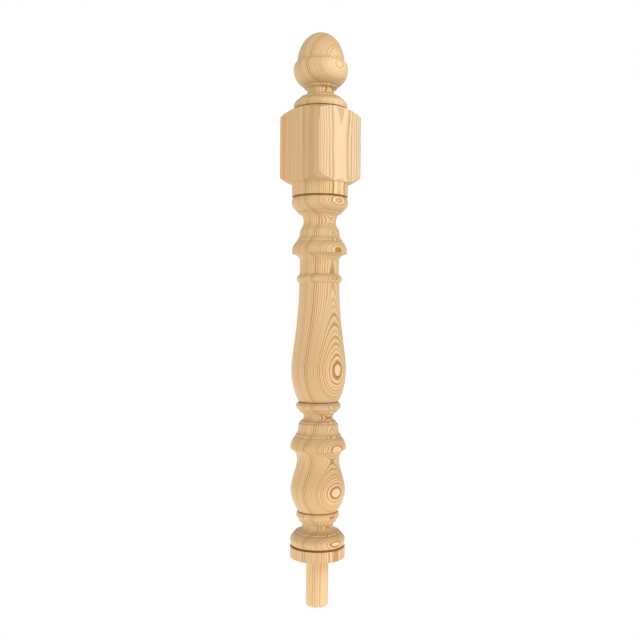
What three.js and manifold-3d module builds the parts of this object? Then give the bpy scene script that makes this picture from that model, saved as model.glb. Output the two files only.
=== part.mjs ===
// Newel post for a staircase, turned from one square blank of pine.
//
// The post stands along +Z. Its origin is on the axis, in the plane of the seat: the underside
// of the base disc, which rests on the newel base while the spigot below it is glued into a
// hole there. The square block keeps the full section of the blank, with its faces square to
// X and Y. Sizes are in millimetres, and diameters are as a pair of calipers would read them.

import * as THREE from 'three';
import { mergeVertices } from 'three/addons/utils/BufferGeometryUtils.js';
import Module from 'manifold-3d';

// Blank and block
const BLOCK_WIDTH = 90;
const BLOCK_HEIGHT = 92.6;
const BLOCK_ARRIS = 1.2;
const LOWER_SHOULDER_HEIGHT = 12;
const UPPER_SHOULDER_HEIGHT = 10.8;
const LOWER_SHOULDER_SHARE = 0.34;
const UPPER_SHOULDER_SHARE = 0.24;

// Spigot and base disc
const SPIGOT_DIAMETER = 35;
const SPIGOT_LENGTH = 76.5;
const SPIGOT_TIP_DIAMETER = 34;
const SPIGOT_TIP_LENGTH = 9;
const SPIGOT_CHAMFER = 1.5;
const DISC_DIAMETER = 86;
const DISC_HEIGHT = 16.5;
const DISC_QUIRK_DIAMETER = 77;
const DISC_QUIRK_HEIGHT = 3;

// Base torus, its fillet and the hollow above it
const BASE_TORUS_FOOT = 83.2;
const BASE_TORUS_DIAMETER = 85.8;
const BASE_TORUS_TOP = 72.8;
const BASE_TORUS_LOWER_HEIGHT = 7.5;
const BASE_TORUS_UPPER_HEIGHT = 10.5;
const BASE_FILLET_DIAMETER = 68.8;
const BASE_FILLET_HEIGHT = 2.6;
const BASE_HOLLOW_DIAMETER = 48.2;
const BASE_HOLLOW_LOWER_HEIGHT = 8.9;
const BASE_HOLLOW_UPPER_HEIGHT = 6.5;

// Bead under the lower vase
const BASE_BEAD_FILLET_DIAMETER = 57.8;
const BASE_BEAD_FILLET_HEIGHT = 2;
const BASE_BEAD_DIAMETER = 66.8;
const BASE_BEAD_LOWER_HEIGHT = 7.5;
const BASE_BEAD_UPPER_HEIGHT = 5.5;
const BASE_BEAD_TOP = 63.6;
const BASE_BEAD_QUIRK_DIAMETER = 59;
const BASE_BEAD_QUIRK_HEIGHT = 1.6;

// Lower vase, with its flared lip
const LOWER_VASE_FOOT = 62;
const LOWER_VASE_BELLY = 85.2;
const LOWER_VASE_NECK = 66.2;
const LOWER_VASE_BELLY_RISE = 33.5;
const LOWER_VASE_NECK_RISE = 45.5;
const LOWER_VASE_SHARE = 0.3;
const LOWER_FLARE_HEIGHT = 17.5;
const LOWER_LIP_DIAMETER = 86.8;
const LOWER_LIP_HEIGHT = 3;
const LOWER_OVOLO_TOP = 72.8;
const LOWER_OVOLO_HEIGHT = 16;

// Steps, drum and hollow between the two vases
const LOWER_FILLET_DIAMETER = 71.2;
const LOWER_FILLET_HEIGHT = 3.5;
const LOWER_COVE_FOOT = 69;
const LOWER_COVE_HEIGHT = 5;
const LOWER_DRUM_FOOT = 63.7;
const LOWER_DRUM_TOP = 62.4;
const LOWER_DRUM_HEIGHT = 9.5;
const LOWER_STEP_DIAMETER = 58.4;
const LOWER_STEP_HEIGHT = 3;
const MIDDLE_FILLET_DIAMETER = 56.6;
const MIDDLE_FILLET_HEIGHT = 3;
const MIDDLE_HOLLOW_DIAMETER = 45.8;
const MIDDLE_HOLLOW_LOWER_HEIGHT = 6.5;
const MIDDLE_HOLLOW_UPPER_HEIGHT = 8.4;

// Bead under the main vase
const MIDDLE_BEAD_FILLET_DIAMETER = 59.6;
const MIDDLE_BEAD_FILLET_HEIGHT = 2.6;
const MIDDLE_BEAD_DIAMETER = 70.2;
const MIDDLE_BEAD_LOWER_HEIGHT = 6.5;
const MIDDLE_BEAD_UPPER_HEIGHT = 5.5;
const MIDDLE_BEAD_TOP = 63.6;
const MIDDLE_BEAD_QUIRK_DIAMETER = 58.4;
const MIDDLE_BEAD_QUIRK_HEIGHT = 1.6;

// Main vase
const VASE_FOOT = 62.2;
const VASE_BELLY = 85.8;
const VASE_NECK = 62.8;
const VASE_BELLY_RISE = 51.5;
const VASE_NECK_RISE = 132.5;
const VASE_FOOT_SHARE = 0.66;
const VASE_BELLY_SHARE = 0.14;
const VASE_NECK_SHARE = 0.45;

// Bead and drum above the main vase
const UPPER_BEAD_DIAMETER = 71.2;
const UPPER_BEAD_LOWER_HEIGHT = 7;
const UPPER_BEAD_UPPER_HEIGHT = 7;
const UPPER_DRUM_DIAMETER = 61.2;
const UPPER_DRUM_HEIGHT = 20;

// Flared lip under the block
const UPPER_FLARE_HEIGHT = 12.4;
const UPPER_LIP_DIAMETER = 86;
const UPPER_LIP_HEIGHT = 4.6;
const UPPER_OVOLO_TOP = 73.4;
const UPPER_OVOLO_HEIGHT = 13.5;
const UPPER_FILLET_DIAMETER = 71.6;
const UPPER_FILLET_HEIGHT = 3.5;
const UPPER_COVE_FOOT = 70;
const UPPER_COVE_HEIGHT = 6;
const THROAT_DRUM_DIAMETER = 63.1;
const THROAT_DRUM_HEIGHT = 3;
const THROAT_DIAMETER = 50.7;
const THROAT_LOWER_HEIGHT = 18;
const THROAT_UPPER_HEIGHT = 14;
const THROAT_OGEE_SHARE = 0.42;
const THROAT_COVE_SHARE = 1;

// Torus and collar under the block
const COLLAR_FILLET_DIAMETER = 66.4;
const COLLAR_FILLET_HEIGHT = 2.5;
const COLLAR_TORUS_FOOT = 69;
const COLLAR_TORUS_DIAMETER = 88.2;
const COLLAR_TORUS_TOP = 84.4;
const COLLAR_TORUS_LOWER_HEIGHT = 14;
const COLLAR_TORUS_UPPER_HEIGHT = 7;
const COLLAR_TORUS_UPPER_SHARE = 0.85;
const COLLAR_QUIRK_DIAMETER = 78;
const COLLAR_QUIRK_HEIGHT = 2.5;
const COLLAR_DIAMETER = 87.6;
const COLLAR_HEIGHT = 19.6;

// Cushion and neck above the block
const CAP_QUIRK_DIAMETER = 80;
const CAP_QUIRK_HEIGHT = 1.5;
const CUSHION_SEAT = 84.8;
const CUSHION_DIAMETER = 84.2;
const CUSHION_BAND_HEIGHT = 6.5;
const CUSHION_TOP = 66;
const CUSHION_OVOLO_HEIGHT = 9.5;
const CUSHION_OVOLO_SHARE = 0.45;
const CUSHION_OVOLO_LEVEL = 0.15;
const CUSHION_FILLET_DIAMETER = 64.2;
const CUSHION_FILLET_HEIGHT = 2.5;
const NECK_COVE_FOOT = 57.4;
const NECK_DIAMETER = 41.6;
const NECK_COVE_HEIGHT = 7.5;
const NECK_HEIGHT = 5;

// Acorn finial
const ACORN_RING_SOFFIT = 49;
const ACORN_RING_DIAMETER = 51.4;
const ACORN_RING_SOFFIT_HEIGHT = 2.5;
const ACORN_RING_HEIGHT = 2.5;
const ACORN_CUP_FOOT = 50.4;
const ACORN_CUP_DIAMETER = 85.2;
const ACORN_CUP_RISE = 27;
const ACORN_RIM_HEIGHT = 9.7;
const ACORN_CUP_SHARE = 0.78;
const ACORN_RIM_SHARE = 0.8;
const ACORN_RIM_LEVEL = 0.45;
const ACORN_DOME_DIAMETER = 74;
const ACORN_DOME_HEIGHT = 47.8;

// A share tells over how much of a member's height, or of its width where it is a LEVEL, the
// curve keeps the direction of its end. ROUND follows a quarter of an ellipse, SOFT is flatter,
// and FLARE stays upright until late and then spreads.
const ROUND = 0.55;
const SOFT = 0.35;
const FLARE = 0.85;

// Facets: the sides around the post, how far a curve may stray from its chords, and the facets
// of an eased edge. Points closer than WELD are one point.
const SIDES = 32;
const CHORD_GAP = 1;
const ARRIS_FACETS = 3;
const WELD = 1e-4;

// The half section of the post, drawn upwards member by member from the foot of the axis.
// Each call joins one turned member to the last point and returns the profile.
class TurnedProfile {

	constructor( bottom ) {

		this.points = [ new THREE.Vector2( 0, bottom ) ];

	}

	get last() {

		return this.points[ this.points.length - 1 ];

	}

	// A flat face, square to the axis, in or out to a diameter.
	face( diameter ) {

		this.points.push( new THREE.Vector2( diameter / 2, this.last.y ) );
		return this;

	}

	// A straight side up to a diameter: a cylinder, a taper or a chamfer.
	side( diameter, height ) {

		this.points.push( new THREE.Vector2( diameter / 2, this.last.y + height ) );
		return this;

	}

	// A cubic curve to a diameter. Its two handles are shares of the member's width and height.
	// The second differences of the control points bound how far even chords can stray from it.
	curve( diameter, height, first, second ) {

		const start = this.last;
		const end = new THREE.Vector2( diameter / 2, start.y + height );
		const span = end.clone().sub( start );
		const leave = first.multiply( span ).add( start );
		const arrive = end.clone().sub( second.multiply( span ) );
		const bend = Math.max(
			start.clone().add( arrive ).addScaledVector( leave, - 2 ).length(),
			leave.clone().add( end ).addScaledVector( arrive, - 2 ).length()
		);
		const steps = Math.ceil( Math.sqrt( 0.75 * bend / CHORD_GAP ) );
		const bezier = new THREE.CubicBezierCurve( start, leave, arrive, end );
		this.points.push( ...bezier.getPoints( steps ).slice( 1 ) );
		return this;

	}

	// A round member that leaves upright: an ovolo where it closes in, a cove where it opens.
	turnAway( diameter, height, share, level = 0 ) {

		return this.curve( diameter, height, new THREE.Vector2( 0, share ), new THREE.Vector2( level, 0 ) );

	}

	// A round member that arrives upright: a cove where it closes in, a swelling where it opens.
	turnUpright( diameter, height, share, level = 0 ) {

		return this.curve( diameter, height, new THREE.Vector2( level, 0 ), new THREE.Vector2( 0, share ) );

	}

	// An ogee, upright at both ends.
	ogee( diameter, height, lower, upper ) {

		return this.curve( diameter, height, new THREE.Vector2( 0, lower ), new THREE.Vector2( 0, upper ) );

	}

	// A narrow groove with a flat floor.
	quirk( floor, height ) {

		return this.face( floor ).side( floor, height );

	}

	// A narrow groove with sloping sides, from the diameter below it to the one above.
	veeQuirk( floor, top, height ) {

		return this.side( floor, height / 2 ).side( top, height / 2 );

	}

}

function turnBase( profile ) {

	profile
		.face( SPIGOT_TIP_DIAMETER - 2 * SPIGOT_CHAMFER )
		.side( SPIGOT_TIP_DIAMETER, SPIGOT_CHAMFER )
		.side( SPIGOT_DIAMETER, SPIGOT_TIP_LENGTH )
		.side( SPIGOT_DIAMETER, SPIGOT_LENGTH - SPIGOT_TIP_LENGTH - SPIGOT_CHAMFER )
		.face( DISC_DIAMETER )
		.side( DISC_DIAMETER, DISC_HEIGHT )
		.quirk( DISC_QUIRK_DIAMETER, DISC_QUIRK_HEIGHT )
		.face( BASE_TORUS_FOOT )
		.side( BASE_TORUS_DIAMETER, BASE_TORUS_LOWER_HEIGHT )
		.turnAway( BASE_TORUS_TOP, BASE_TORUS_UPPER_HEIGHT, ROUND )
		.face( BASE_FILLET_DIAMETER )
		.side( BASE_FILLET_DIAMETER, BASE_FILLET_HEIGHT )
		.turnUpright( BASE_HOLLOW_DIAMETER, BASE_HOLLOW_LOWER_HEIGHT, ROUND, SOFT )
		.turnAway( BASE_BEAD_FILLET_DIAMETER, BASE_HOLLOW_UPPER_HEIGHT, ROUND, SOFT );

}

function turnLowerVase( profile ) {

	profile
		.side( BASE_BEAD_FILLET_DIAMETER, BASE_BEAD_FILLET_HEIGHT )
		.turnUpright( BASE_BEAD_DIAMETER, BASE_BEAD_LOWER_HEIGHT, ROUND )
		.turnAway( BASE_BEAD_TOP, BASE_BEAD_UPPER_HEIGHT, ROUND )
		.veeQuirk( BASE_BEAD_QUIRK_DIAMETER, LOWER_VASE_FOOT, BASE_BEAD_QUIRK_HEIGHT )
		.turnUpright( LOWER_VASE_BELLY, LOWER_VASE_BELLY_RISE, ROUND )
		.ogee( LOWER_VASE_NECK, LOWER_VASE_NECK_RISE, LOWER_VASE_SHARE, LOWER_VASE_SHARE )
		.turnAway( LOWER_LIP_DIAMETER, LOWER_FLARE_HEIGHT, FLARE )
		.side( LOWER_LIP_DIAMETER, LOWER_LIP_HEIGHT )
		.turnAway( LOWER_OVOLO_TOP, LOWER_OVOLO_HEIGHT, ROUND );

}

function turnMiddle( profile ) {

	profile
		.face( LOWER_FILLET_DIAMETER )
		.side( LOWER_FILLET_DIAMETER, LOWER_FILLET_HEIGHT )
		.face( LOWER_COVE_FOOT )
		.turnUpright( LOWER_DRUM_FOOT, LOWER_COVE_HEIGHT, SOFT )
		.side( LOWER_DRUM_TOP, LOWER_DRUM_HEIGHT )
		.turnAway( LOWER_STEP_DIAMETER, LOWER_STEP_HEIGHT, ROUND, SOFT )
		.face( MIDDLE_FILLET_DIAMETER )
		.side( MIDDLE_FILLET_DIAMETER, MIDDLE_FILLET_HEIGHT )
		.turnUpright( MIDDLE_HOLLOW_DIAMETER, MIDDLE_HOLLOW_LOWER_HEIGHT, ROUND, SOFT )
		.turnAway( MIDDLE_BEAD_FILLET_DIAMETER, MIDDLE_HOLLOW_UPPER_HEIGHT, ROUND, SOFT )
		.side( MIDDLE_BEAD_FILLET_DIAMETER, MIDDLE_BEAD_FILLET_HEIGHT )
		.turnUpright( MIDDLE_BEAD_DIAMETER, MIDDLE_BEAD_LOWER_HEIGHT, ROUND, SOFT )
		.turnAway( MIDDLE_BEAD_TOP, MIDDLE_BEAD_UPPER_HEIGHT, ROUND )
		.veeQuirk( MIDDLE_BEAD_QUIRK_DIAMETER, VASE_FOOT, MIDDLE_BEAD_QUIRK_HEIGHT );

}

function turnMainVase( profile ) {

	profile
		.turnUpright( VASE_BELLY, VASE_BELLY_RISE, VASE_FOOT_SHARE )
		.ogee( VASE_NECK, VASE_NECK_RISE, VASE_BELLY_SHARE, VASE_NECK_SHARE )
		.turnUpright( UPPER_BEAD_DIAMETER, UPPER_BEAD_LOWER_HEIGHT, ROUND )
		.turnAway( UPPER_DRUM_DIAMETER, UPPER_BEAD_UPPER_HEIGHT, ROUND )
		.side( UPPER_DRUM_DIAMETER, UPPER_DRUM_HEIGHT );

}

function turnFlare( profile ) {

	profile
		.turnAway( UPPER_LIP_DIAMETER, UPPER_FLARE_HEIGHT, FLARE )
		.side( UPPER_LIP_DIAMETER, UPPER_LIP_HEIGHT )
		.turnAway( UPPER_OVOLO_TOP, UPPER_OVOLO_HEIGHT, ROUND )
		.face( UPPER_FILLET_DIAMETER )
		.side( UPPER_FILLET_DIAMETER, UPPER_FILLET_HEIGHT )
		.face( UPPER_COVE_FOOT )
		.turnUpright( THROAT_DRUM_DIAMETER, UPPER_COVE_HEIGHT, SOFT )
		.side( THROAT_DRUM_DIAMETER, THROAT_DRUM_HEIGHT )
		.ogee( THROAT_DIAMETER, THROAT_LOWER_HEIGHT, THROAT_OGEE_SHARE, THROAT_OGEE_SHARE )
		.turnAway( COLLAR_FILLET_DIAMETER, THROAT_UPPER_HEIGHT, THROAT_COVE_SHARE );

}

function turnCollar( profile ) {

	profile
		.side( COLLAR_FILLET_DIAMETER, COLLAR_FILLET_HEIGHT )
		.face( COLLAR_TORUS_FOOT )
		.turnUpright( COLLAR_TORUS_DIAMETER, COLLAR_TORUS_LOWER_HEIGHT, ROUND )
		.turnAway( COLLAR_TORUS_TOP, COLLAR_TORUS_UPPER_HEIGHT, COLLAR_TORUS_UPPER_SHARE )
		.quirk( COLLAR_QUIRK_DIAMETER, COLLAR_QUIRK_HEIGHT )
		.face( COLLAR_DIAMETER )
		.side( COLLAR_DIAMETER, COLLAR_HEIGHT );

}

// The lathe leaves the block square. Below and above it the four corners are turned off in a
// round-nosed shoulder. Between the shoulders the profile runs clear of the blank, which gives
// the block its flat faces.
function turnBlock( profile ) {

	const diagonal = Math.SQRT2 * BLOCK_WIDTH;
	const clear = 2 * BLOCK_WIDTH;

	profile
		.turnUpright( diagonal, LOWER_SHOULDER_HEIGHT, LOWER_SHOULDER_SHARE )
		.face( clear )
		.side( clear, BLOCK_HEIGHT )
		.face( diagonal )
		.turnAway( CUSHION_SEAT, UPPER_SHOULDER_HEIGHT, UPPER_SHOULDER_SHARE );

}

function turnCushion( profile ) {

	profile
		.quirk( CAP_QUIRK_DIAMETER, CAP_QUIRK_HEIGHT )
		.face( CUSHION_DIAMETER )
		.side( CUSHION_DIAMETER, CUSHION_BAND_HEIGHT )
		.turnAway( CUSHION_TOP, CUSHION_OVOLO_HEIGHT, CUSHION_OVOLO_SHARE, CUSHION_OVOLO_LEVEL )
		.face( CUSHION_FILLET_DIAMETER )
		.side( CUSHION_FILLET_DIAMETER, CUSHION_FILLET_HEIGHT )
		.face( NECK_COVE_FOOT )
		.turnUpright( NECK_DIAMETER, NECK_COVE_HEIGHT, ROUND, SOFT )
		.side( NECK_DIAMETER, NECK_HEIGHT );

}

function turnAcorn( profile ) {

	profile
		.side( ACORN_RING_SOFFIT, ACORN_RING_SOFFIT_HEIGHT )
		.face( ACORN_RING_DIAMETER )
		.side( ACORN_RING_DIAMETER, ACORN_RING_HEIGHT )
		.face( ACORN_CUP_FOOT )
		.turnUpright( ACORN_CUP_DIAMETER, ACORN_CUP_RISE, ACORN_CUP_SHARE )
		.turnAway( ACORN_DOME_DIAMETER, ACORN_RIM_HEIGHT, ACORN_RIM_SHARE, ACORN_RIM_LEVEL )
		.turnAway( 0, ACORN_DOME_HEIGHT, ROUND, ROUND );

}

function turnedGeometry() {

	const profile = new TurnedProfile( - SPIGOT_LENGTH );
	turnBase( profile );
	turnLowerVase( profile );
	turnMiddle( profile );
	turnMainVase( profile );
	turnFlare( profile );
	turnCollar( profile );
	turnBlock( profile );
	turnCushion( profile );
	turnAcorn( profile );

	// The lathe turns the outline about Y, so the post is laid from Y up onto Z.
	const geometry = new THREE.LatheGeometry( profile.points, SIDES );
	geometry.rotateX( Math.PI / 2 );
	return { geometry, top: profile.last.y };

}

// The planed blank: a square prism with eased long edges, a little longer than the post.
function blankGeometry( top ) {

	const half = BLOCK_WIDTH / 2;
	const inner = half - BLOCK_ARRIS;
	const shape = new THREE.Shape();
	shape.moveTo( half, - inner );
	shape.absarc( inner, inner, BLOCK_ARRIS, 0, Math.PI / 2 );
	shape.absarc( - inner, inner, BLOCK_ARRIS, Math.PI / 2, Math.PI );
	shape.absarc( - inner, - inner, BLOCK_ARRIS, Math.PI, 1.5 * Math.PI );
	shape.absarc( inner, - inner, BLOCK_ARRIS, 1.5 * Math.PI, 2 * Math.PI );
	const geometry = new THREE.ExtrudeGeometry( shape, {
		depth: top + SPIGOT_LENGTH + 2 * half,
		bevelEnabled: false,
		curveSegments: ARRIS_FACETS
	} );
	geometry.translate( 0, 0, - SPIGOT_LENGTH - half );
	return geometry;

}

const wasm = await Module();
wasm.setup();

function toSolid( geometry ) {

	geometry.deleteAttribute( 'normal' );
	geometry.deleteAttribute( 'uv' );
	const merged = mergeVertices( geometry, WELD );
	return new wasm.Manifold( new wasm.Mesh( {
		numProp: 3,
		vertProperties: new Float32Array( merged.attributes.position.array ),
		triVerts: new Uint32Array( merged.index.array )
	} ) );

}

function toGeometry( solid ) {

	const mesh = solid.getMesh();
	const geometry = new THREE.BufferGeometry();
	geometry.setAttribute( 'position', new THREE.BufferAttribute( mesh.vertProperties, 3 ) );
	geometry.setIndex( new THREE.BufferAttribute( mesh.triVerts, 1 ) );
	geometry.computeVertexNormals();
	return geometry;

}

const turned = turnedGeometry();
const post = new THREE.Mesh(
	toGeometry( toSolid( turned.geometry ).intersect( toSolid( blankGeometry( turned.top ) ) ) ),
	new THREE.MeshStandardMaterial( { color: 0xe6c692, roughness: 0.5, metalness: 0 } )
);
post.name = 'newel_post';

const newel = new THREE.Group();
newel.add( post );

export default newel;
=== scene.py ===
import math

import bpy
import numpy as np
from mathutils import Euler, Matrix, Vector


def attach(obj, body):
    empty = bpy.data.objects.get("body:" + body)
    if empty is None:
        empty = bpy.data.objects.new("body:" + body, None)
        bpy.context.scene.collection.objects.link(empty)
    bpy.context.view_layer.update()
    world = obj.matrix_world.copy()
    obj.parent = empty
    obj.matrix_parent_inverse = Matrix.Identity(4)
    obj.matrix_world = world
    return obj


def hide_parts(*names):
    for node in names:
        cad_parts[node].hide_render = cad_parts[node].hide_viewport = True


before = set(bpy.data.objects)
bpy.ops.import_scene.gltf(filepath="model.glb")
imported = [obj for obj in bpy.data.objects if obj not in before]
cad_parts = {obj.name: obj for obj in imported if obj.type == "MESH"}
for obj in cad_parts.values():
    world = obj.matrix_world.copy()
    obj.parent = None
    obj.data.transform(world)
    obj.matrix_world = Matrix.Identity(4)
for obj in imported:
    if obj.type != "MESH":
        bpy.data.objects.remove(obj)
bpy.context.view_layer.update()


# The post: one square blank of pine, planed, then turned between the centres of a lathe.
# Spigot, disc, beads, vases, collar, cushion and acorn are all cut from it, and the block is
# what the lathe leaves of the blank. It is sanded, and its fine edges are eased by the sanding.

MM = 0.001                              # every size below is in millimetres
FOOT = -76.5                            # the spigot's end. Height 0 is the seat under the disc
EASE = 0.35                             # how far sanding has worn an edge back
SHARP_TURN = 12                         # an outline that turns by more degrees has such an edge
SIDES = 144                             # columns around the post
SHOULDER_ROWS, FACE_ROWS = 9, 28        # rows of the block's shoulders and of its flat faces
CURVE_GAP = 0.07                        # how far a curve may stray from its chords
ROUND, SOFT, FLARE = 0.55, 0.35, 0.85   # handle shares of full, slack and long drawn curves


class TurnedProfile:
    """The half section of the post, drawn upwards stroke by stroke from a radius and a height.
    Strokes give diameters, as a pair of calipers would read them.

    A straight stroke is its end point. A curved one is the cubic with handles that are shares of
    its width and height: (1-t)^3 start + 3t(1-t)^2 first + 3t^2(1-t) second + t^3 end.
    """

    def __init__(self, radius, height):
        self.points = [np.array([[radius, height]])]
        self.dark = [np.zeros(1)]
        self.joints = [0]

    @property
    def last(self):
        return self.points[-1][-1]

    def add(self, points, dark=0.0):
        self.points.append(np.atleast_2d(points))
        self.dark.append(np.full(len(self.points[-1]), dark))
        self.joints.append(self.joints[-1] + len(self.points[-1]))
        return self

    def face(self, diameter, dark=0.0):
        """A flat face square to the axis, in or out to a diameter."""
        return self.add([diameter / 2, self.last[1]], dark)

    def side(self, diameter, height, dark=0.0):
        """A straight side up to a diameter: a cylinder, a taper or a chamfer."""
        return self.add([diameter / 2, self.last[1] + height], dark)

    def curve(self, diameter, height, first, second):
        """A cubic up to a diameter. Its n chords stray by at most 3/4 of its largest second
        difference over n squared, which gives n."""
        start = self.last
        span = np.array([diameter / 2 - start[0], height])
        end = start + span
        handles = np.array([start, start + span * first, end - span * np.array(second), end])
        bends = np.linalg.norm(handles[:2] - 2 * handles[1:3] + handles[2:], axis=1)
        steps = math.ceil(math.sqrt(0.75 * bends.max() / CURVE_GAP))
        return self.add(along_curve(handles, np.linspace(0, 1, steps + 1)[1:]))

    def turn_away(self, diameter, height, share, level=0.0):
        """A round member that leaves upright."""
        return self.curve(diameter, height, (0, share), (level, 0))

    def turn_upright(self, diameter, height, share, level=0.0):
        """A round member that arrives upright."""
        return self.curve(diameter, height, (level, 0), (0, share))

    def ogee(self, diameter, height, lower, upper):
        """A double curve, upright at both ends."""
        return self.curve(diameter, height, (0, lower), (0, upper))

    def quirk(self, floor, height):
        """A square groove whose upper wall the next face makes, coloured dark brown partly as
        burnish and partly as painted shade in its depth.
        """
        return self.face(floor, 1.0).side(floor, height, 1.0)

    def vee_quirk(self, floor, top, height):
        """A groove of two slopes, coloured dark brown at its bottom partly as burnish and partly as
        painted shade.
        """
        return self.side(floor, height / 2, 1.0).side(top, height / 2)


def along_curve(handles, t):
    """Points of the cubic with these four handles at the parameters t, of any shape."""
    t = np.asarray(t)[..., None]
    rest = 1 - t
    return (rest**3 * handles[0] + 3 * t * rest**2 * handles[1]
            + 3 * t**2 * rest * handles[2] + t**3 * handles[3])


below = (
    TurnedProfile(8, FOOT)
    # spigot and base disc
    .face(31).side(34, 1.5).side(35, 9).side(35, 66)
    .face(86).side(86, 16.5).quirk(77, 3)
    # base torus, fillet, hollow and bead
    .face(83.2).side(85.8, 7.5).turn_away(72.8, 10.5, ROUND)
    .face(68.8).side(68.8, 2.6)
    .turn_upright(48.2, 8.9, ROUND, SOFT).turn_away(57.8, 6.5, ROUND, SOFT).side(57.8, 2)
    .turn_upright(66.8, 7.5, ROUND).turn_away(63.6, 5.5, ROUND).vee_quirk(59, 62, 1.6)
    # lower vase, its flared lip and the drum on it
    .turn_upright(85.2, 33.5, ROUND).ogee(66.2, 45.5, 0.3, 0.3)
    .turn_away(86.8, 17.5, FLARE).side(86.8, 3).turn_away(72.8, 16, ROUND)
    .face(71.2).side(71.2, 3.5).face(69).turn_upright(63.7, 5, SOFT).side(62.4, 9.5)
    .turn_away(58.4, 3, ROUND, SOFT).face(56.6).side(56.6, 3)
    # hollow and bead
    .turn_upright(45.8, 6.5, ROUND, SOFT).turn_away(59.6, 8.4, ROUND, SOFT).side(59.6, 2.6)
    .turn_upright(70.2, 6.5, ROUND, SOFT).turn_away(63.6, 5.5, ROUND).vee_quirk(58.4, 62.2, 1.6)
    # upper vase, astragal, neck and flared lip
    .turn_upright(85.8, 51.5, 0.66).ogee(62.8, 132.5, 0.14, 0.45)
    .turn_upright(71.2, 7, ROUND).turn_away(61.2, 7, ROUND).side(61.2, 20)
    .turn_away(86, 12.4, FLARE).side(86, 4.6).turn_away(73.4, 13.5, ROUND)
    # drum, throat, torus and plain collar
    .face(71.6).side(71.6, 3.5).face(70).turn_upright(63.1, 6, SOFT).side(63.1, 3)
    .ogee(50.7, 18, 0.42, 0.42).turn_away(66.4, 14, 1)
    .side(66.4, 2.5).face(69).turn_upright(88.2, 14, ROUND).turn_away(84.4, 7, 0.85)
    .quirk(78, 2.5).face(87.6).side(87.6, 19.6)
)

# The square block: its faces are 90 mm apart, and the lathe has rounded off its corners below
# and above. Each column follows the shoulder until it meets the flat face.
BLOCK_HALF = 45
BLOCK_ARRIS = 1.2
BLOCK_CORNER = BLOCK_HALF * math.sqrt(2)
LOWER_EDGE, LOWER_SHOULDER, LOWER_SHARE = 593.3, 12, 0.34
UPPER_EDGE, UPPER_SHOULDER, UPPER_SHARE = 685.9, 10.8, 0.24
lower_shoulder = np.array([
    below.last, below.last,
    [BLOCK_CORNER, LOWER_EDGE - LOWER_SHARE * LOWER_SHOULDER], [BLOCK_CORNER, LOWER_EDGE]])
cushion_seat = np.array([42.4, UPPER_EDGE + UPPER_SHOULDER])
upper_shoulder = np.array([
    [BLOCK_CORNER, UPPER_EDGE], [BLOCK_CORNER, UPPER_EDGE + UPPER_SHARE * UPPER_SHOULDER],
    cushion_seat, cushion_seat])

above = (
    TurnedProfile(*cushion_seat)
    # groove, cushion, fillets and stem
    .quirk(80, 1.5).face(84.2).side(84.2, 6.5).turn_away(66, 9.5, 0.45, 0.15)
    .face(64.2).side(64.2, 2.5).face(57.4).turn_upright(41.6, 7.5, ROUND, SOFT).side(41.6, 5)
    .side(49, 2.5).face(51.4).side(51.4, 2.5).face(50.4)
    # the acorn: its cup, the cup's rim and the nut
    .turn_upright(85.2, 27, 0.78).turn_away(74, 9.7, 0.8, 0.45).turn_away(0, 47.8, ROUND, ROUND)
)
tip = above.last[1]

# Columns stand evenly around the post, with more where an arris of the block turns
arris_turns = np.radians([-1.3, -0.765, -0.5, -0.25, 0.25, 0.5, 0.765, 1.3])
angle = np.sort(np.concatenate([
    np.arange(SIDES) * 2 * np.pi / SIDES,
    (np.radians([45, 135, 225, 315])[:, None] + arris_turns).ravel()]))


def square_reach(angle):
    """Distance from the axis to the blank's skin: half over the larger of |cos| and |sin|, or
    inside an arris the far crossing of the ray with the arris circle."""
    c, s = np.abs(np.cos(angle)), np.abs(np.sin(angle))
    inner = BLOCK_HALF - BLOCK_ARRIS
    flat = BLOCK_HALF / np.maximum(c, s)
    along = inner * (c + s)
    arc = along + np.sqrt(np.maximum(along**2 - 2 * inner**2 + BLOCK_ARRIS**2, 0))
    return np.where(np.minimum(c, s) * flat > inner, arc, flat)


def block_rows(reach):
    """Radius and height of the block's rows, one value a column: the lower shoulder up to where
    its radius is the reach, the flat face, and the upper shoulder from there on."""
    t = np.linspace(0, 1, 2001)
    low, high = along_curve(lower_shoulder, t), along_curve(upper_shoulder, t)
    meets_low = np.interp(reach, low[:, 0], t)
    meets_high = np.interp(reach, high[::-1, 0], t[::-1])
    share = np.linspace(0, 1, SHOULDER_ROWS + 1)[:, None]
    rise = along_curve(lower_shoulder, share[1:] * meets_low)
    fall = along_curve(upper_shoulder, meets_high + share[:-1] * (1 - meets_high))
    # the face's rows close up towards its ends, so that shading stays flat up to the edges
    up = (1 - np.cos(np.linspace(0, np.pi, FACE_ROWS + 1)[1:-1])) / 2
    flat_z = rise[-1, :, 1] + up[:, None] * (fall[0, :, 1] - rise[-1, :, 1])
    flat = np.stack([np.broadcast_to(reach, flat_z.shape), flat_z], axis=-1)
    return np.concatenate([rise, flat, fall])


def spread(profile):
    """A profile's points and darkness, repeated for every column, and its stroke joints."""
    points = np.repeat(np.concatenate(profile.points)[:, None, :], len(angle), axis=1)
    return points, np.concatenate(profile.dark), np.array(profile.joints)


block = block_rows(square_reach(angle))
low_points, low_dark, low_joints = spread(below)
# the last point above is the tip, which the mesh closes with a pole of its own
high_points, high_dark, high_joints = (part[:-1] for part in spread(above))
section = np.concatenate([low_points, block, high_points])
dark = np.concatenate([low_dark, np.zeros(len(block)), high_dark])
first_block, first_high = len(low_points), len(low_points) + len(block)
joints = np.concatenate([
    low_joints[1:],
    [first_block + SHOULDER_ROWS - 1, first_high - SHOULDER_ROWS],
    first_high + high_joints])


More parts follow.
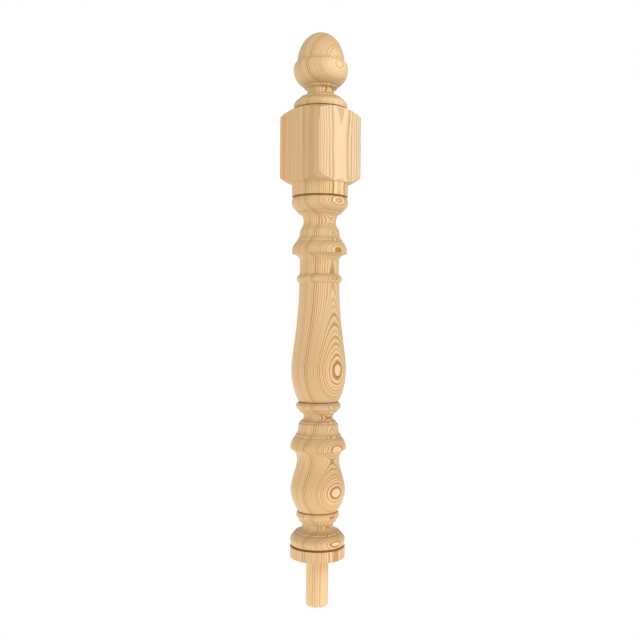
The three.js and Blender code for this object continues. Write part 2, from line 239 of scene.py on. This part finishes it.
def ease_corners(section, joints, dark):
    """Each joint where the outline turns sharply becomes three rows: one on either side, EASE
    away or at most 0.4 of the stroke, and between them the middle of the parabola that they and
    the old corner span, which is a quarter of each side row and half of the corner."""
    before = section[joints - 1] - section[joints]
    after = section[joints + 1] - section[joints]
    before_length = np.linalg.norm(before, axis=-1, keepdims=True)
    after_length = np.linalg.norm(after, axis=-1, keepdims=True)
    straight = -(before * after).sum(-1, keepdims=True) / (before_length * after_length)
    turn = np.degrees(np.arccos(np.clip(straight, -1, 1)))
    sharp = turn.max(axis=(1, 2)) > SHARP_TURN
    joints = joints[sharp]
    corner = section[joints]
    worn = np.minimum(EASE, 0.4 * np.minimum(before_length, after_length)[sharp])
    start = corner + before[sharp] / before_length[sharp] * worn
    end = corner + after[sharp] / after_length[sharp] * worn
    rows = section.copy()
    rows[joints] = (start + end + 2 * corner) / 4
    # where two corners are neighbours, the end of the first comes before the start of the next
    places = np.concatenate([joints + 1, joints])
    order = np.argsort(places, kind="stable")
    rows = np.insert(rows, places[order], np.concatenate([end, start])[order], axis=0)
    beside = np.concatenate([joints, joints])[order]
    return rows, np.insert(dark, places[order], dark[beside])


section, dark = ease_corners(section, joints, dark)

# The groove colour, part burnish and part painted shade, starts weaker on a groove's rims and fades
# out over about a millimetre
RIM_BURNISH_AND_SHADE, BURNISH_AND_SHADE_FADE = 0.65, 0.9
walked = np.append(0, np.cumsum(np.linalg.norm(np.diff(section[:, 0], axis=0), axis=-1)))
from_groove = np.abs(walked[:, None] - walked[dark > 0]).min(axis=1)
dark = np.maximum(dark, RIM_BURNISH_AND_SHADE * np.exp(-from_groove / BURNISH_AND_SHADE_FADE))


def turned_mesh(name, section, angle, ends, dark):
    """A closed skin: row i, column j is (r cos a, r sin a, z), and a pole closes either end.
    Normals are the sums of the facets around each point, so a wide facet keeps its own."""
    rows, columns = section.shape[:2]
    radius, height = section[..., 0] * MM, section[..., 1] * MM
    points = np.stack([radius * np.cos(angle), radius * np.sin(angle), height], axis=-1)
    grid = np.arange(rows * columns).reshape(rows, columns)
    beside = np.roll(grid, -1, axis=1)
    quads = np.stack([grid[:-1], beside[:-1], beside[1:], grid[1:]], axis=-1).reshape(-1, 4)
    foot_pole, tip_pole = rows * columns, rows * columns + 1
    foot_fan = np.stack([np.full(columns, foot_pole), beside[0], grid[0]], axis=-1)
    tip_fan = np.stack([np.full(columns, tip_pole), grid[-1], beside[-1]], axis=-1)
    poles = np.array([[0, 0, ends[0]], [0, 0, ends[1]]]) * MM
    mesh = bpy.data.meshes.new(name)
    mesh.from_pydata(
        np.concatenate([points.reshape(-1, 3), poles]).tolist(), [],
        quads.tolist() + foot_fan.tolist() + tip_fan.tolist())
    layer = mesh.attributes.new("dark", "FLOAT", "POINT")
    layer.data.foreach_set("value", np.append(np.repeat(dark, columns), [0, 0]).astype(np.float32))
    mesh.polygons.foreach_set("use_smooth", np.ones(len(mesh.polygons), dtype=bool))
    across = np.roll(points, -1, axis=1)
    facet = np.cross(across[1:] - points[:-1], points[1:] - across[:-1])
    facet *= np.linalg.norm(facet, axis=-1, keepdims=True)
    facet = np.concatenate([np.zeros((1, columns, 3)), facet, np.zeros((1, columns, 3))])
    normal = facet[:-1] + facet[1:]
    normal += np.roll(normal, 1, axis=1)
    # the fans count too: a broad one at the foot, and a tiny one that rounds off the tip
    normal[0] += (0, 0, -1)
    normal[-1] += (0, 0, 1e-12)
    normal /= np.linalg.norm(normal, axis=-1, keepdims=True)
    mesh.normals_split_custom_set_from_vertices(
        np.concatenate([normal.reshape(-1, 3), [[0, 0, -1], [0, 0, 1]]]).tolist())
    return mesh


post = bpy.data.objects.new(
    "turned_post", turned_mesh("turned_post", section, angle, (FOOT, tip), dark))
bpy.context.scene.collection.objects.link(post)


class Signal:
    """A socket of the material that is being made. Sums, differences, products and quotients of
    signals and numbers become Math nodes, and every other node comes from Signal.node."""

    tree = None

    def __init__(self, socket):
        self.socket = socket

    @classmethod
    def node(cls, kind, settings, sockets, output=0):
        """One node: its settings first, then the values or links of its sockets."""
        node = cls.tree.nodes.new(kind)
        for name, value in settings.items():
            if name == "stops":
                ramp = node.color_ramp.elements
                while len(ramp) < len(value):
                    ramp.new(1.0)
                for stop, (position, level) in zip(ramp, value):
                    stop.position, stop.color = position, (level, level, level, 1)
            else:
                setattr(node, name, value)
        for name, value in sockets.items():
            if isinstance(value, Signal):
                cls.tree.links.new(value.socket, node.inputs[name])
            else:
                node.inputs[name].default_value = value
        return cls(node.outputs[output]) if node.outputs else None

    def math(self, operation, *values):
        sockets = dict(enumerate((self, *values)))
        return self.node("ShaderNodeMath", {"operation": operation}, sockets)

    def __add__(self, other):
        return self.math("ADD", other)

    __radd__ = __add__

    def __mul__(self, other):
        return self.math("MULTIPLY", other)

    __rmul__ = __mul__

    def __sub__(self, other):
        return self.math("SUBTRACT", other)

    def __rsub__(self, other):
        return self.node("ShaderNodeMath", {"operation": "SUBTRACT"}, {0: other, 1: self})

    def __truediv__(self, other):
        return self.math("DIVIDE", other)

    def step(self, start, end, low=0.0, high=1.0):
        """A smooth step from low at start to high at end."""
        return self.node(
            "ShaderNodeMapRange", {"interpolation_type": "SMOOTHSTEP"},
            {0: self, 1: start, 2: end, 3: low, 4: high})


def tint(factor, base, over, way="MIX"):
    """A colour laid over another by a factor."""
    return Signal.node(
        "ShaderNodeMix", {"data_type": "RGBA", "blend_type": way}, {0: factor, 6: base, 7: over}, 2)


def stretched(place, across, along):
    """The place, counted in this many millimetres across and along the post."""
    shares = (1 / across, 1 / across, 1 / along)
    return Signal.node("ShaderNodeVectorMath", {"operation": "MULTIPLY"}, {0: place, 1: shares})


def cloud(place, detail=2.0, rough=0.5):
    """Soft noise about zero, from -0.5 to 0.5."""
    return Signal.node(
        "ShaderNodeTexNoise", {"noise_dimensions": "3D"},
        {"Vector": place, "Scale": 1.0, "Detail": detail, "Roughness": rough}) - 0.5


# Pine: yearly rings about a pith outside the blank, cream in spring wood and orange brown in
# summer wood. They run through the solid wood, so every turned form cuts them in its own way.
PITH_X, PITH_Y = -80.0, 0.0
SPRING_SAP = (0.785, 0.565, 0.355, 1)
SPRING_HEART = (0.73, 0.500, 0.268, 1)
SUMMER = (0.39, 0.18, 0.030, 1)
# The grooves' dark brown: partly lathe burnish, partly painted shade where the grooves are deep
BURNISH_AND_SHADE = (0.50, 0.235, 0.055, 1)
# How far the rings lean in towards the pith, as pairs of height and lean
DRIFT = (
    (-76, 0.0), (2, -0.8), (16, -0.8), (21, 0.2), (48, 0.5), (85, 0.7), (150, 0.4),
    (166, -0.3), (218, -0.4), (290, -0.35), (370, 0.3), (430, 0.0), (446, -0.35),
    (462, -0.8), (478, -0.9), (500, -0.4), (524, 0.6), (552, -0.55), (571, -0.85),
    (580, -0.8), (587, -0.1), (655, 0.0), (700, -0.35), (712, -0.3), (722, 0.7),
    (738, 0.1), (775, 0.1), (818, 0.0))
DRIFT_LOW, DRIFT_RANGE = -2.5, 5.0
# Distance of each year's dark edge from the pith. The young tree grew fast, about 2.5 mm a year,
# and the outer years are the ones that show on the +X side.
YOUNG_EDGE, YOUNG_YEARS = 36.0, 25
YEAR_EDGES = (
    98.5, 100.9, 103.0, 104.9, 106.5, 107.9, 109.2, 110.4, 111.55, 112.2, 112.8, 113.9,
    115.4, 116.4, 117.5, 118.9, 120.0, 121.1, 122.5, 123.9, 125.1, 126.5, 127.6, 128.9,
    130.1, 131.2, 132.5, 133.9)
YEAR_STRENGTHS = (
    0.8, 1.6, 1.2, 0.9, 0.6, 0.7, 0.5, 0.8, 0.5, 0.5, 0.45, 0.85,
    0.85, 0.5, 0.95, 0.7, 0.5, 0.95, 1.2, 0.75, 0.42, 0.6, 0.65, 0.4,
    0.55, 0.4, 0.6, 0.5)
RING_WIDTH = 1.24
SWAY, RIPPLE = 2.2, 0.8                 # how far the rings wander, in broad and in short waves
HEART_ENDS, SAP_BEGINS = 119, 126       # distances from the pith
SUMMER_FULL, SUMMER_ENDS = 0.9, 0.93    # shares of a year
# How strongly each signal changes the brightness of the wood
FIBRE_TONE, STREAK_TONE, PATCH_TONE, BAND_TONE = 0.12, 0.16, 0.14, 0.22
RESIN_TONE, END_GRAIN_TONE = 0.3, 0.27

pine = bpy.data.materials.new("pine")
pine.use_nodes = True
pine.node_tree.nodes.clear()
Signal.tree = pine.node_tree

place_in_metres = Signal.node("ShaderNodeTexCoord", {}, {}, "Object")
place = Signal.node(
    "ShaderNodeVectorMath", {"operation": "SCALE"}, {0: place_in_metres, "Scale": 1 / MM})
x, y, z = (Signal.node("ShaderNodeSeparateXYZ", {}, {0: place}, axis) for axis in range(3))
facing = Signal.node("ShaderNodeTexCoord", {}, {}, "Normal")
end_grain = Signal.node("ShaderNodeSeparateXYZ", {}, {0: facing}, 2).math("ABSOLUTE")

# The radius is the distance from the pith, moved by the lean and by two waves
up_the_post = (z - FOOT) / (tip - FOOT)
lean_stops = [
    ((height - FOOT) / (tip - FOOT), (lean - DRIFT_LOW) / DRIFT_RANGE) for height, lean in DRIFT]
drift = Signal.node("ShaderNodeValToRGB", {"stops": lean_stops}, {0: up_the_post})
drift = drift * DRIFT_RANGE + DRIFT_LOW
sway = cloud(stretched(place, 90, 240), 1)
ripple = cloud(stretched(place, 16, 75), 2)
from_pith_x, from_pith_y = x - PITH_X, y - PITH_Y
radius = (from_pith_x * from_pith_x + from_pith_y * from_pith_y).math("SQRT")
radius = radius + drift + sway * SWAY + ripple * RIPPLE

# An even count of years from the first edge, set right by a ramp of small shifts
edges = np.array((YOUNG_EDGE,) + YEAR_EDGES)
numbers = np.append(-YOUNG_YEARS, np.arange(len(YEAR_EDGES)))
shifts = numbers - (edges - YEAR_EDGES[0]) / RING_WIDTH
shift_low, shift_range = float(shifts.min()), float(shifts.max() - shifts.min())
shift_stops = [
    ((edge - edges[0]) / (edges[-1] - edges[0]), (shift - shift_low) / shift_range)
    for edge, shift in zip(edges, shifts)]
outwards = (radius - float(edges[0])) / float(edges[-1] - edges[0])
set_right = Signal.node("ShaderNodeValToRGB", {"stops": shift_stops}, {0: outwards})
years = (radius - YEAR_EDGES[0]) / RING_WIDTH + set_right * shift_range + shift_low
year, season = years.math("FLOOR"), years.math("FRACT")

# How dark each year's summer wood is: read off the post where it shows, else drawn by chance
strength_stops = [
    ((number + 0.5) / len(YEAR_EDGES), level) for number, level in enumerate(YEAR_STRENGTHS)]
known = Signal.node(
    "ShaderNodeValToRGB", {"stops": strength_stops}, {0: (year + 1.5) / len(YEAR_EDGES)})
guessed = Signal.node("ShaderNodeTexWhiteNoise", {"noise_dimensions": "1D"}, {"W": year + 7.0}, 0)
guessed = guessed * guessed * 0.8 + 0.35
vigour = guessed + year.math("GREATER_THAN", -1.5) * (known - guessed)
# the outer years are faint above the block
vigour = vigour * (1.0 - z.step(692, 702) * radius.step(112, 119) * 0.65)

# Summer wood deepens slowly from its onset in the year and ends at a sharp edge
onset = radius.step(98, 109, 0.72, 0.42) - vigour * 0.2
fibre = cloud(stretched(place, 0.5, 22), 3, 0.6)
streak = cloud(stretched(place, 3.5, 90), 2)
summer = season.step(onset, SUMMER_FULL) * season.step(SUMMER_ENDS, 1.0, 1.0, 0.0) * vigour
summer = (summer * (1.0 + streak * 0.9 + fibre * 0.5)).math("MINIMUM", 1.0)

# Slow changes of brightness and hue, and short dashes of resin in the summer wood
patch = cloud(stretched(place, 30, 160), 1)
blush = cloud(stretched(place, 24, 300), 1)
band = Signal.node(
    "ShaderNodeTexNoise", {"noise_dimensions": "1D"},
    {"W": radius / 9, "Scale": 1.0, "Detail": 2.0}) - 0.5
resin = cloud(stretched(place, 0.55, 11), 1).step(0.2, 0.3) * summer
tone = (fibre * FIBRE_TONE + streak * STREAK_TONE + patch * PATCH_TONE + band * BAND_TONE
        - resin * RESIN_TONE - end_grain * end_grain * END_GRAIN_TONE + 1.0)
# the blank's -Y side is pinker towards the heart and greyer in its sapwood
side = y.step(-43, -36, 1.0, 0.0)
pink = side * radius.step(78, 100, 1.0, 0.0)
grey = side * radius.step(108, 118)
red = tone + blush * 0.08 - grey * 0.07
green = tone - pink * 0.07 - grey * 0.06
blue = tone - blush * 0.16 - pink * 0.11 - grey * 0.14
cast = Signal.node("ShaderNodeCombineColor", {}, {0: red, 1: green, 2: blue})

spring = tint(radius.step(HEART_ENDS, SAP_BEGINS), SPRING_HEART, SPRING_SAP)
wood = tint(1.0, tint(summer, spring, SUMMER), cast, "MULTIPLY")
# the grooves and their rims turn dark brown, partly as burnish and partly as painted shade
groove_burnish_and_shade = Signal.node("ShaderNodeAttribute", {"attribute_name": "dark"}, {}, "Fac")
wood = tint(groove_burnish_and_shade, wood, BURNISH_AND_SHADE)

relief = fibre * 0.5 - summer * 0.3
bump = Signal.node("ShaderNodeBump", {}, {"Strength": 0.35, "Distance": 0.00012, "Height": relief})
surface = Signal.node("ShaderNodeBsdfPrincipled", {}, {
    "Base Color": wood, "Roughness": 0.52 - summer * 0.08 + fibre * 0.15,
    "Specular IOR Level": 0.28, "Normal": bump})
Signal.node("ShaderNodeOutputMaterial", {}, {"Surface": surface})

post.data.materials.append(pine)
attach(post, "root")
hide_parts("newel_post")


# The studio: a plain white floor under the spigot's end, which glows on the post as a stand-in for
# its bounce light, brighter near the post; a white surround, a soft key light to the right of the
# camera, a broad weaker light far to its left and a faint one overhead.
FLOOR_HALF = 6                          # metres, as are all lengths of the studio
FLOOR_HEIGHT = -0.0765
PAPER = (1, 1, 1, 1)
PAPER_STRENGTH = 1.01                   # just enough to be pure white in the picture
GLOW = (1.0, 0.99, 0.97, 1)             # colour of the floor's glow on the post, which stands in for its bounce light
NEAR_GLOW, FAR_GLOW = 1.75, 1.25
AMBIENT = (1.0, 0.96, 0.90, 1)
AMBIENT_STRENGTH = 0.38

floor_corners = [
    (FLOOR_HALF * east, FLOOR_HALF * north, FLOOR_HEIGHT)
    for east, north in ((-1, -1), (1, -1), (1, 1), (-1, 1))]
floor_mesh = bpy.data.meshes.new("floor")
floor_mesh.from_pydata(floor_corners, [], [(0, 1, 2, 3)])
floor = bpy.data.objects.new("floor", floor_mesh)
bpy.context.scene.collection.objects.link(floor)
white = bpy.data.materials.new("white_floor")
white.use_nodes = True
white.node_tree.nodes.clear()
Signal.tree = white.node_tree
floor_place = Signal.node("ShaderNodeTexCoord", {}, {}, "Object")
from_post = Signal.node(
    "ShaderNodeVectorMath", {"operation": "LENGTH"}, {0: floor_place}, "Value")
near = Signal.node("ShaderNodeEmission", {}, {"Color": GLOW, "Strength": NEAR_GLOW})
far = Signal.node("ShaderNodeEmission", {}, {"Color": GLOW, "Strength": FAR_GLOW})
plain_white = Signal.node("ShaderNodeEmission", {}, {"Color": PAPER, "Strength": PAPER_STRENGTH})
bounce = Signal.node("ShaderNodeMixShader", {}, {0: from_post.step(0.1, 0.8), 1: near, 2: far})
looked_at = Signal.node("ShaderNodeLightPath", {}, {}, "Is Camera Ray")
floor_surface = Signal.node("ShaderNodeMixShader", {}, {0: looked_at, 1: bounce, 2: plain_white})
Signal.node("ShaderNodeOutputMaterial", {}, {"Surface": floor_surface})
floor_mesh.materials.append(white)

surround = bpy.data.worlds.new("surround")
surround.use_nodes = True
surround.node_tree.nodes.clear()
Signal.tree = surround.node_tree
mirrored = Signal.node("ShaderNodeLightPath", {}, {}, "Is Glossy Ray")
seen = Signal.node("ShaderNodeLightPath", {}, {}, "Is Camera Ray").math("MAXIMUM", mirrored)
ambient = Signal.node("ShaderNodeBackground", {}, {"Color": AMBIENT, "Strength": AMBIENT_STRENGTH})
backdrop = Signal.node("ShaderNodeBackground", {}, {"Color": PAPER, "Strength": PAPER_STRENGTH})
sky = Signal.node("ShaderNodeMixShader", {}, {0: seen, 1: ambient, 2: backdrop})
Signal.node("ShaderNodeOutputWorld", {}, {"Surface": sky})
bpy.context.scene.world = surround

VIEW_TURN = math.radians(46.7)          # from -Y towards +X
VIEW_DISTANCE, VIEW_HEIGHT = 1.262, 0.371
LIT_HEIGHT = 0.4                        # the lights face the post's middle
FOCAL_LENGTH, SENSOR_WIDTH = 45.28, 36  # millimetres
FOCAL_PIXELS = 805                      # the focal length in pixels of the photograph
VIEW_LEAN = math.atan(0.0074)           # the photograph shows the post a little off the vertical


def soft_light(name, turn, distance, height, width, power, colour):
    """A square area light that faces the middle of the post from a turn right of the camera."""
    lamp = bpy.data.lights.new(name, "AREA")
    lamp.size, lamp.energy, lamp.color = width, power, colour
    holder = bpy.data.objects.new(name, lamp)
    at = VIEW_TURN + math.radians(turn)
    holder.location = (distance * math.sin(at), -distance * math.cos(at), height)
    aim = Vector((0, 0, LIT_HEIGHT)) - holder.location
    holder.rotation_euler = aim.to_track_quat("-Z", "Y").to_euler()
    bpy.context.scene.collection.objects.link(holder)


soft_light("key_light", 31, 1.3, 1.35, 1.0, 15.0, (0.92, 0.96, 0.98))
soft_light("left_light", -115, 2.4, 0.5, 1.6, 10, (1.0, 0.97, 0.92))
soft_light("top_light", 0, 0.3, 2.3, 1.2, 2, (1.0, 0.98, 0.95))

lens = bpy.data.cameras.new("camera")
lens.lens, lens.sensor_width = FOCAL_LENGTH, SENSOR_WIDTH
camera = bpy.data.objects.new("camera", lens)
# the post's axis crosses the photograph one pixel beside its middle, and the horizon one above
pixel = math.atan(1 / FOCAL_PIXELS)
level = Euler((math.pi / 2 - pixel, 0, VIEW_TURN - pixel)).to_matrix()
camera.rotation_euler = (level @ Matrix.Rotation(VIEW_LEAN, 3, "Z")).to_euler()
camera.location = (
    VIEW_DISTANCE * math.sin(VIEW_TURN), -VIEW_DISTANCE * math.cos(VIEW_TURN), VIEW_HEIGHT)
bpy.context.scene.collection.objects.link(camera)
bpy.context.scene.camera = camera
bpy.context.scene.view_settings.view_transform = "Standard"
